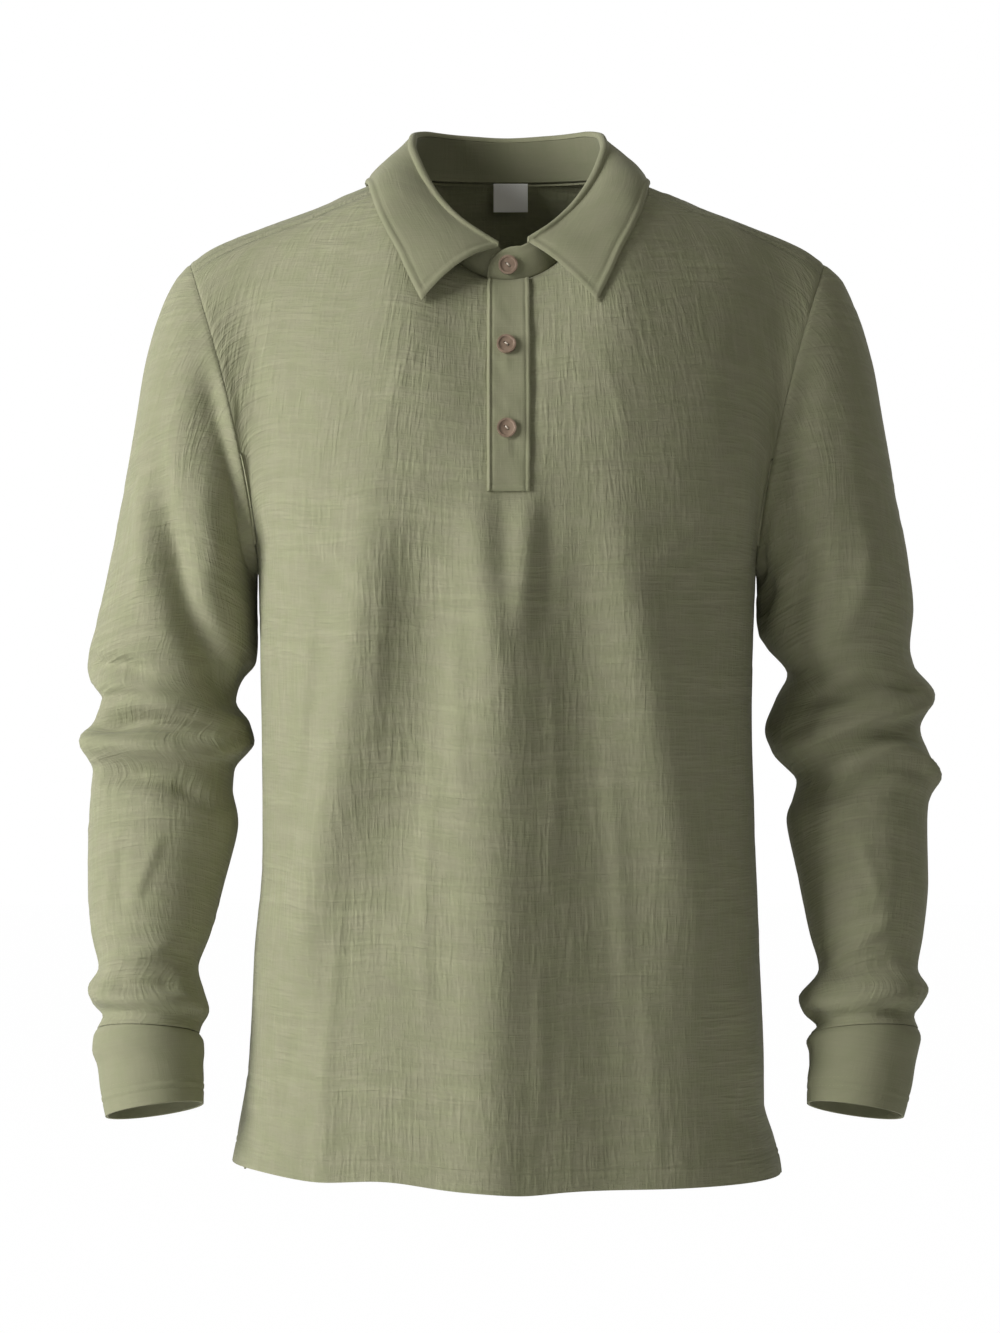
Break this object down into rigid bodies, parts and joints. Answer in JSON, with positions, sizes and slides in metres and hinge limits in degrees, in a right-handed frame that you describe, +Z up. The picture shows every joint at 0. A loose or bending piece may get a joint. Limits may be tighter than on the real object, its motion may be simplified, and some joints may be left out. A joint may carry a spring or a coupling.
{
  "type": "long-sleeve polo shirt",
  "caption": "Long-sleeve polo shirt filled out as if worn, with a turned-down collar, a buttoned placket, plain cuffs and short side vents.",
  "frame": {"origin": "between the shoulders, in the plane of the shoulder seams, 11 mm below the side points of the neck seam, where the shirt rests on its wearer", "axes": "+Z up, -Y the way the front faces, +X the wearer's left"},
  "size_m": [0.6405, 0.2665, 0.7994],
  "materials": {
    "cloth": "matt crinkled cotton with slubs",
    "trim": "matt plain cotton",
    "button": "satin",
    "label": "matt woven"
  },
  "bodies": {
    "root": {"front": "cloth", "back": "cloth", "sleeve_left": "cloth", "sleeve_right": "cloth", "cuff_left": "trim", "cuff_right": "trim", "collar_leaf": "trim", "collar_stand": "trim", "placket": "trim", "placket_under": "trim", "button_neck": "button", "button_middle": "button", "button_lower": "button", "neck_label": "label"}
  },
  "joints": []
}
